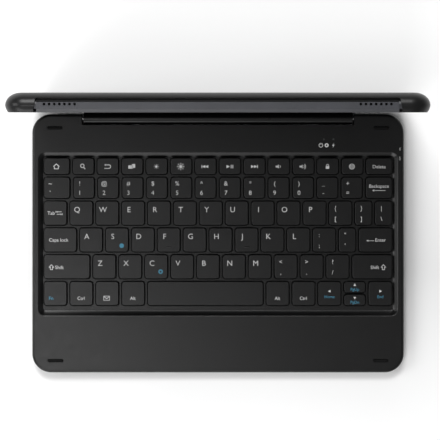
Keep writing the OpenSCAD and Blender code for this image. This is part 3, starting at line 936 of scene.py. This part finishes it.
def make_deck():
    well_at = ((WELL[0] + WELL[1]) / 2, (WELL[2] + WELL[3]) / 2)
    well_w, well_d = WELL[1] - WELL[0], WELL[3] - WELL[2]

    def draw_form(bm):
        profile = [(0.18, PARTING_Z), (0.18, PARTING_Z + 0.08), (0.0, PARTING_Z + 0.22)]
        profile += [(0.0, DECK_Z - EDGE_TOP)] + fillet(EDGE_TOP, DECK_Z, True)
        slab(bm, CASE_W, BASE_D, CORNER_R, profile, steps=14)

    def draw_pan(bm, z0=PAN_Z, z1=ROOF_Z + 0.3):
        slab(bm, well_w + 1.2, well_d + 1.2, WELL_R + 0.6, [(0, z0), (0, z1)], well_at)

    def draw_well(bm):
        """Sloping walls with a soft brim: straight behind, hollow at the sides and more so in front."""
        rise = DECK_Z - 0.3 - WEB_Z
        profile = []
        for t in [i / 10 for i in range(11)]:
            side_share, near_share, far_share = [1 - 0.92 * t ** power for power in (1.8, 1.3, 2.2)]
            profile.append((side_share, near_share, far_share, WEB_Z + rise * t * t))
        brim = [(0.0, DECK_Z - 0.12), (-0.1, DECK_Z - 0.02), (-0.12, DECK_Z), (-0.14, DECK_Z + 1)]
        profile += [(share, share, share, z) for share, z in brim]
        rings = []
        for side_share, near_share, far_share, z in profile:
            side, near, far = side_share * WELL_SLOPE, near_share * NEAR_SLOPE, far_share * WELL_SLOPE
            w, d = well_w - 2 * side, well_d - far - near
            y = well_at[1] + (near - far) / 2
            ring = outline(w, d, WELL_R - side_share * (WELL_R - 1.5), 10)
            rings.append([(well_at[0] + px, y + py, z) for px, py in ring])
        loft(bm, rings)

    def draw_openings(bm):
        profile = [(0, 3.0), (0, WEB_Z - 0.22), (-0.06, WEB_Z - 0.08), (-0.22, WEB_Z), (-0.24, WEB_Z + 0.6)]
        for key in keys:
            w, d = key[3] - key[1] + 2 * KEY_GAP, key[4] - key[2] + 2 * KEY_GAP
            at = ((key[1] + key[3]) / 2, (key[2] + key[4]) / 2)
            slab(bm, w, d, KEY_R + KEY_GAP, profile, at, 5)

    def draw_slots(bm):
        profile = [(0, DECK_Z - 0.8), (0, DECK_Z - 0.15), (-0.15, DECK_Z), (-0.15, DECK_Z + 1)]
        for at in BUMPERS:
            slab(bm, *BUMPER, profile, at, 6)

    def draw_light_holes(bm):
        profile = [(0.62, ROOF_Z - 1), (0.62, DECK_Z - 0.1), (0.75, DECK_Z), (0.75, DECK_Z + 1)]
        for at in LIGHTS:
            lathe(bm, at, profile, 20)

    def draw_bosses(bm):
        for at in SCREWS:
            lathe(bm, at, [(2.0, FLOOR_Z), (2.2, FLOOR_Z + 0.2), (2.2, ROOF_Z + 0.3)], 24)

    def draw_bores(bm):
        for at in SCREWS:
            lathe(bm, at, [(BORE_R, FLOOR_Z - 1), (BORE_R, FLOOR_Z + 4)], 16)

    deck = solid(draw_form)
    hollow = cavity(PARTING_Z - 0.5, ROOF_Z)
    hollow = cut(hollow, lambda bm: draw_pan(bm, PAN_Z - 1, ROOF_Z + 1))
    deck = combine(deck, hollow, "DIFFERENCE")
    deck = add(deck, draw_pan)
    deck = add(deck, draw_bosses)
    cuts = (draw_well, draw_openings, draw_notch, draw_hinge_room, draw_slots, draw_light_holes, draw_bores)
    for draw in cuts:
        deck = cut(deck, draw)
    piece(deck, "deck_moulding", "base", DECK_BLACK, base_to_row, ["deck"])


def make_tray():
    def draw_form(bm):
        low = [(EDGE_LOW, TRAY_Z)] + fillet(EDGE_LOW, TRAY_Z, False)
        top = [(0.0, PARTING_Z - 0.22), (0.18, PARTING_Z - 0.08), (0.18, PARTING_Z)]
        slab(bm, CASE_W, BASE_D, CORNER_R, low + top, steps=14)

    def draw_posts(bm):
        for at in POSTS:
            lathe(bm, at, [(1.5, FLOOR_Z - 0.3), (1.5, 2.95), (1.4, 3.0)], 20)

    def draw_screw_holes(bm):
        for at in SCREWS:
            lathe(bm, at, [(1.95, 0), (1.95, TRAY_Z), (1.8, TRAY_Z + 0.15), (1.8, TRAY_Z + 0.6),
                           (HOLE_R, TRAY_Z + 0.6), (HOLE_R, PARTING_Z)], 24)

    def draw_side_slots(bm):
        wall_x = CASE_W / 2 - WALL - 1
        low, high = SWITCH_Z
        block(bm, (wall_x, SWITCH_Y - SWITCH_HALF, low), (CASE_W / 2 + 1, SWITCH_Y + SWITCH_HALF, high))
        ring = [(SOCKET_AT[0] + a, SOCKET_AT[1] + b) for a, b in outline(*SOCKET, 6)]
        along_x(bm, ring, wall_x, CASE_W / 2 + 1)

    def draw_foot_seats(bm):
        for at in FEET:
            lathe(bm, at, [(5.4, 0), (5.4, TRAY_Z), (5.2, TRAY_Z + 0.2)], 40)

    tray = solid(draw_form)
    tray = combine(tray, cavity(FLOOR_Z, PARTING_Z + 1), "DIFFERENCE")
    tray = add(tray, draw_posts)
    for draw in (draw_notch, draw_hinge_room, draw_screw_holes, draw_side_slots, draw_foot_seats):
        tray = cut(tray, draw)
    piece(tray, "tray_moulding", "base", TRAY_BLACK, base_to_row, ["base_tray"])


def make_small_base_parts():
    def draw_feet(bm):
        for at in FEET:
            lathe(bm, at, [(4.3, 0.0), (4.75, 0.08), (4.95, 0.3), (5.0, 0.55), (5.0, TRAY_Z + 0.2)], 40)

    def draw_bumpers(bm):
        top = DECK_Z + 0.5
        profile = [(0.05, DECK_Z - 0.8), (0.05, top - 0.45), (0.12, top - 0.25)]
        profile += [(0.32, top - 0.07), (0.6, top)]
        for at in BUMPERS:
            slab(bm, *BUMPER, profile, at, 6, 0.25)

    def draw_screws(bm):
        profile = [(1.45, 0.1), (1.65, 0.2), (1.7, 0.35), (1.7, 0.6), (0.8, 0.6), (0.8, 4.3), (0.45, 4.6)]
        for at in SCREWS:
            lathe(bm, at, [(r, TRAY_Z + z) for r, z in profile], 24)

    def draw_recesses(bm):
        for x, y in SCREWS:
            for w, d in ((1.7, 0.42), (0.42, 1.7)):
                block(bm, (x - w / 2, y - d / 2, TRAY_Z - 0.5), (x + w / 2, y + d / 2, TRAY_Z + 0.42))

    knob_low, knob_high = box_mm("power_slider")
    knob = knob_high - knob_low
    knob_y = knob_low.y - BASE_Y

    def draw_slider(bm):
        centre = (knob_y + knob.y / 2, knob_low.z + knob.z / 2)
        ring = [(centre[0] + a, centre[1] + b) for a, b in outline(knob.y, knob.z, 0.15, 2)]
        along_x(bm, ring, knob_low.x, knob_high.x)

    def draw_ridges(bm):
        for i in range(4):
            y = knob_y + 0.45 + 0.6 * i
            block(bm, (knob_high.x - 0.25, y, knob_low.z - 1), (knob_high.x + 1, y + 0.3, knob_high.z + 1))

    piece(solid(draw_feet), "feet_rubber", "base", RUBBER_BLACK, base_to_row, ["base_feet"])
    bumpers = solid(draw_bumpers)
    piece(bumpers, "bumpers_rubber", "base", RUBBER_BLACK, base_to_row, ["deck_bumpers"])
    screws = cut(solid(draw_screws), draw_recesses)
    piece(screws, "tray_screws", "base", SCREW_STEEL, base_to_row, ["base_screws"])
    slider = cut(solid(draw_slider), draw_ridges)
    piece(slider, "switch_knob", "slider", KEY_BLACK, base_to_row, ["power_slider"])


# ---------------------------------------------------------------------------
# Lid: drawn as x, v and -w, front face up
# ---------------------------------------------------------------------------
def lid_profile(side, back, front, steps=12):
    """(inset, -w) pairs from the front face over the elliptical edge to the back."""
    pairs = []
    if front > 0:
        pairs += [(side, -front), (side, -FLARE_W)]
    else:
        pairs += [(FLARE + 0.35, 0.0), (FLARE + 0.08, -0.1), (FLARE - 0.1, -0.35)]
        pairs += [(FLARE * (1 - t) ** 1.6, -FLARE_W * t) for t in (0.3, 0.5, 0.7, 0.85, 1.0)]
    for i in range(1, steps + 1):
        a = math.pi / 2 * i / steps
        pairs.append((side + (BACK_V - side) * (1 - math.cos(a)), -FLARE_W - (BACK_W - back) * math.sin(a)))
    return pairs


def draw_lid_form(bm, side, back, front):
    slab(bm, CASE_W, LID_H, LID_R, lid_profile(side, back, front), (0, LID_MID), 12, 1.5)


def draw_tablet(bm, edge, profile):
    at = (0, TABLET_V + TABLET[1] / 2)
    slab(bm, TABLET[0] - 2 * edge, TABLET[1] - 2 * edge, TABLET_R, profile, at, 10)


def draw_top_cut(bm):
    """Opening in the top wall; its ends slope outwards to the front and are rounded at the back."""
    right = [(TOP_CUT + 2.0, 1.0), (TOP_CUT + 1.6, -0.5), (TOP_CUT + 0.5, -6.4)]
    right += arc(TOP_CUT - 1.1, -CUT_W + 1.6, 1.6, 1.6, 0, -90, 6)
    points = right + [(-x, z) for x, z in reversed(right)]
    prism(bm, points, lambda p: (p[0], 168, p[1]), lambda p: (p[0], 190, p[1]))


def draw_plug_cut(bm):
    ring = [(PLUG_V + a, -PLUG_W / 2 + 1 + b) for a, b in outline(PLUG_L, PLUG_W + 2, 1.5, 6)]
    along_x(bm, ring, 118, 130)


# Outline of the arm that joins the hinge barrel to the lid, as (v, -w)
FOOT = [(0.9, 4.1), (0.9, -5.3), (3.0, -8.3), (5.5, -9.2), (14.0, -9.2),
        (14.0, -7.6), (6.0, -7.6), (2.3, -5.0), (2.3, 1.0), (4.0, 4.1)]
LID_SCREWS = [(-100, 30), (100, 30), (-100, 150), (100, 150), (0, 87)]
BARREL_SCREWS = [(x, 10) for x in (-75, -30, 30, 75)]


def draw_below(bm, v):
    """Everything in the lid that is lower than v."""
    block(bm, (-130, -5, -20), (130, v, 5))


def make_shell():
    def draw_opening(bm):
        profile = [(0, -LIP_W - 0.1), (0, -0.3), (-0.15, -0.08), (-0.4, 0.0), (-0.4, 1.0)]
        slab(bm, *OPENING, profile, (0, LID_MID), 10)

    def draw_bosses(bm):
        for at in LID_SCREWS:
            lathe(bm, at, [(2.2, -LID_T + BACK_WALL - 0.3), (2.2, -CRADLE_W)], 20)

    def draw_bores(bm):
        for at in LID_SCREWS:
            lathe(bm, at, [(BORE_R, -10.2), (BORE_R, -6.0)], 16)
        for at in BARREL_SCREWS:
            lathe(bm, at, [(BORE_R, -10.4), (BORE_R, -6.0)], 16)

    def draw_barrel_room(bm):
        block(bm, (-half, -1, -3.0), (half, TABLET_V, 1))

    half = BARREL_HALF + 0.1
    shell = solid(lambda bm: draw_lid_form(bm, 0, 0, 0))
    shell = cut(shell, lambda bm: draw_lid_form(bm, SIDE_WALL, BACK_WALL, LIP_W))
    shell = add(shell, draw_bosses)
    shell = cut(shell, draw_opening)
    shell = cut(shell, draw_top_cut)
    shell = cut(shell, draw_barrel_room)
    shell = cut(shell, lambda bm: along_x(bm, FOOT, -half, half))
    shell = cut(shell, draw_plug_cut)
    shell = cut(shell, draw_bores)
    piece(shell, "lid_moulding", "lid", LID_BLACK, lid_to_row, ["lid_shell"])


def draw_cradle_slice(bm, w0, w1):
    """Part of the cradle's outer form between two depths, a little inside the shell."""
    side, back = SIDE_WALL + 0.15, BACK_WALL + 0.15

    def inset_at(w):
        rise = max(0.0, (w - FLARE_W) / (BACK_W - back))
        return side + (BACK_V - side) * (1 - math.sqrt(1 - rise * rise))

    steps = 12
    depths = [w0 + (w1 - w0) * i / steps for i in range(steps + 1)]
    slab(bm, CASE_W, LID_H, LID_R, [(inset_at(w), -w) for w in depths], (0, LID_MID), 12, 1.5)


def draw_sound_holes(bm, r, v0, v1):
    """Two rows of round pins: they cut the holes in the strip, or are the dark discs in them, which paint
    the shade inside the holes.
    """
    for side in (-1, 1):
        for i in range(SOUND_HOLES):
            x = side * (SOUND_FIRST + SOUND_STEP * i)
            ring = [(x + a, -SOUND_W + b) for a, b in circle(r, 20)]
            prism(bm, ring, lambda p: (p[0], v1, p[1]), lambda p: (p[0], v0, p[1]))


def make_cradle():
    top = LID_H - 0.2

    def draw_edge_strip(bm):
        """The long wall that shows in the shell's opening, with a wide chamfer in front."""
        inner = TABLET_TOP
        outer = [(inner, -0.15), (inner + 0.15, 0.0), (LID_H - 1.75, 0.0), (LID_H - 1.55, -0.08)]
        outer += [(top - 0.12, -1.8), (top, -2.05), (top, -5.9), (top - 0.06, -5.97)]
        outer += [(top - 0.4, -STRIP_BACK), (inner - 2, -STRIP_BACK)]
        along_x(bm, outer, -TOP_CUT + 0.4, TOP_CUT - 0.4)

    def draw_screw_seats(bm):
        for at in LID_SCREWS:
            lathe(bm, at, [(HOLE_R, -9), (HOLE_R, -PAD_W - 0.4), (1.8, -PAD_W - 0.4), (1.8, -4.0)], 20)

    def draw_foot_room(bm):
        block(bm, (-half, -5, -20), (half, BOTTOM_CUT, 5))

    def draw_ledge_room(bm):
        block(bm, (-ledge, TABLET_TOP, -PAD_W - 0.3), (ledge, LID_H + 1, -STRIP_BACK))

    def draw_ledge(bm):
        """The dark ledge behind the strip: part of the panel, up to the strip's back."""
        foot, front, back = TABLET_TOP + 0.02, -STRIP_BACK - 0.02, -PAD_W - 0.3
        ring = [(foot, front), (LID_H - 2.15, front), (LID_H - 1.8, back), (foot, back)]
        along_x(bm, ring, -ledge + 0.05, ledge - 0.05)

    def draw_rib(bm):
        """Rib along the top of the panel's back."""
        block(bm, (-109, 166, -9.2), (109, 167.5, -CRADLE_W + 0.2))

    half = BARREL_HALF + 0.3
    ledge = TOP_CUT - 0.3
    rim = solid(lambda bm: draw_cradle_slice(bm, LIP_W + 0.15, PAD_W))
    rim = cut(rim, lambda bm: draw_below(bm, TABLET_V))
    rim = add(rim, draw_edge_strip)
    rim = cut(rim, lambda bm: draw_tablet(bm, 0, [(0, -PAD_W - 1), (0, 1)]))
    for draw in (draw_foot_room, draw_plug_cut, draw_ledge_room):
        rim = cut(rim, draw)
    rim = cut(rim, lambda bm: draw_sound_holes(bm, 0.8, LID_H - 3.2, LID_H + 1))
    piece(rim, "cradle_walls", "lid", CRADLE_GREY, lid_to_row, ["tablet_cradle"])

    # Dark rubber discs 0.3 mm thick, a little way down the sound holes: painted shade, so that the holes
    # read black.
    meshes = solid(lambda bm: draw_sound_holes(bm, 0.78, TABLET_TOP + 0.1, TABLET_TOP + 0.4))
    piece(meshes, "sound_meshes", "lid", RUBBER_BLACK, lid_to_row)

    panel = solid(lambda bm: draw_cradle_slice(bm, PAD_W, CRADLE_W))
    panel = cut(panel, lambda bm: draw_below(bm, TABLET_V))
    panel = add(panel, draw_rib)
    panel = add(panel, draw_ledge)
    for draw in (draw_foot_room, draw_screw_seats):
        panel = cut(panel, draw)
    piece(panel, "cradle_panel", "lid", TRAY_BLACK, lid_to_row, ["cradle_floor"])


def make_pad():
    def draw_form(bm):
        z0, z1 = -PAD_W, -TABLET_T
        profile = [(0.12, z0), (0.02, z0 + 0.1), (0.0, z0 + 0.25)]
        profile += [(0.06, z1 - 0.1), (0.2, z1 - 0.02), (0.35, z1)]
        draw_tablet(bm, 0.3, profile)

    pad = solid(draw_form)
    pad = cut(pad, lambda bm: draw_below(bm, BOTTOM_CUT + 0.3))
    pad = piece(pad, "lining_cloth", "lid", PAD_CLOTH, lid_to_row, ["cradle_pad"])


def make_barrel():
    def draw_tube(bm):
        rings = []
        for side in (-1, 1):
            ends = [(BARREL_HALF, BARREL_R - 0.3), (BARREL_HALF - 0.3, BARREL_R)]
            for x, r in ends[::-side]:
                rings.append([(side * x, AXIS_V + a, -AXIS_W + b) for a, b in circle(r, 56)])
        loft(bm, rings)

    def draw_bore(bm):
        ring = [(AXIS_V + a, -AXIS_W + b) for a, b in circle(BARREL_BORE, 40)]
        along_x(bm, ring, -BARREL_HALF - 2, BARREL_HALF + 2)

    def draw_holes(bm):
        for at in BARREL_SCREWS:
            lathe(bm, at, [(HOLE_R, -10), (HOLE_R, -6)], 16)

    barrel = solid(draw_tube)
    barrel = add(barrel, lambda bm: along_x(bm, FOOT, -BARREL_HALF + 0.02, BARREL_HALF - 0.02))
    barrel = cut(barrel, draw_bore)
    barrel = cut(barrel, draw_holes)
    piece(barrel, "barrel_moulding", "lid", BARREL_BLACK, lid_to_row, ["hinge_barrel"])


make_caps()
print_keys()
print_deck()
make_deck()
make_tray()
make_small_base_parts()
make_shell()
make_cradle()
make_pad()
make_barrel()

# ---------------------------------------------------------------------------
# Floor, lights and camera, in metres
# ---------------------------------------------------------------------------
CAMERA_AT = (0.0013, 0.0092, 1.251)
CAMERA_LENS = 153.8


def make_floor():
    n = Nodes("paper_white")
    n.join(n.ramp(n.noise(3, 2.0), (0.86, 0.86, 0.86), (0.9, 0.9, 0.9)), n.shader.inputs["Base Color"])
    n.join(n.spread(n.noise(40, 3.0), 0.75, 0.9), n.shader.inputs["Roughness"])
    n.shader.inputs["Specular IOR Level"].default_value = 0.1
    bm = bmesh.new()
    bmesh.ops.create_grid(bm, x_segments=2, y_segments=2, size=6)
    mesh = bpy.data.meshes.new("floor")
    bm.to_mesh(mesh)
    bm.free()
    mesh.materials.append(n.material)
    floor = bpy.data.objects.new("floor", mesh)
    bpy.context.scene.collection.objects.link(floor)


def softbox(name, at, aim, size, power):
    light = bpy.data.lights.new(name, "AREA")
    light.shape = "RECTANGLE"
    light.size, light.size_y = size
    light.energy = power
    obj = bpy.data.objects.new(name, light)
    bpy.context.scene.collection.objects.link(obj)
    obj.location = at
    obj.rotation_euler = (Vector(aim) - Vector(at)).to_track_quat("-Z", "Y").to_euler()


def make_stage():
    make_floor()
    world = bpy.data.worlds.new("studio")
    world.use_nodes = True
    background = world.node_tree.nodes["Background"]
    background.inputs["Color"].default_value = (1.0, 1.0, 1.0, 1.0)
    background.inputs["Strength"].default_value = 0.26
    bpy.context.scene.world = world
    bpy.context.scene.view_settings.view_transform = "Standard"
    softbox("overhead", (-0.36, -0.28, 1.5), (-0.05, -0.04, 0), (0.45, 0.45), 3.5)
    softbox("left", (-2.0, 0.12, 1.4), (0, 0, 0), (1.0, 1.0), 17)
    softbox("front", (-0.8, -1.7, 1.0), (0, 0, 0.02), (1.8, 0.8), 22)
    softbox("back", (-0.3, 1.5, 1.7), (0, 0.1, 0), (1.2, 1.0), 43)
    camera = bpy.data.objects.new("camera", bpy.data.cameras.new("camera"))
    bpy.context.scene.collection.objects.link(camera)
    camera.data.sensor_width = 36
    camera.data.lens = CAMERA_LENS
    camera.location = CAMERA_AT
    bpy.context.scene.camera = camera


make_stage()
